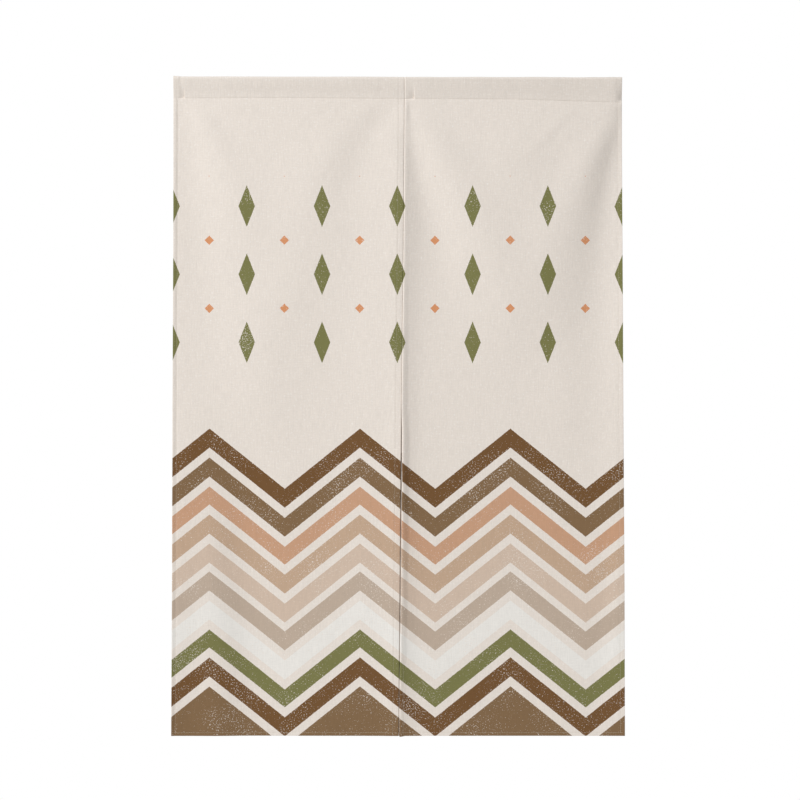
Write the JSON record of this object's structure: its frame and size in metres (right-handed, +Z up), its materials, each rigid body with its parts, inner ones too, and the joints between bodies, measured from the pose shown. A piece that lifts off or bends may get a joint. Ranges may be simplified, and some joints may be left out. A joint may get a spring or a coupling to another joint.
{
  "type": "noren curtain",
  "caption": "Doorway curtain of hanging cloth panels, sewn together above and open below, with a sleeve along the top for a rod.",
  "frame": {"origin": "middle of the top edge, on top of the rod sleeve, where the curtain is held up", "axes": "+X to the right of a viewer in front, +Y away from that viewer, +Z up; the cloth hangs towards -Z"},
  "size_m": [0.8261, 0.017, 1.2009],
  "materials": {
    "printed_cloth": "natural cotton and linen plain weave, matt, with a soft printed pattern on its lower part",
    "heading_cloth": "the same cloth, unprinted, turned over and sewn as a sleeve"
  },
  "bodies": {
    "root": {"left_panel": "printed_cloth", "right_panel": "printed_cloth", "left_heading": "heading_cloth", "right_heading": "heading_cloth"}
  },
  "joints": []
}
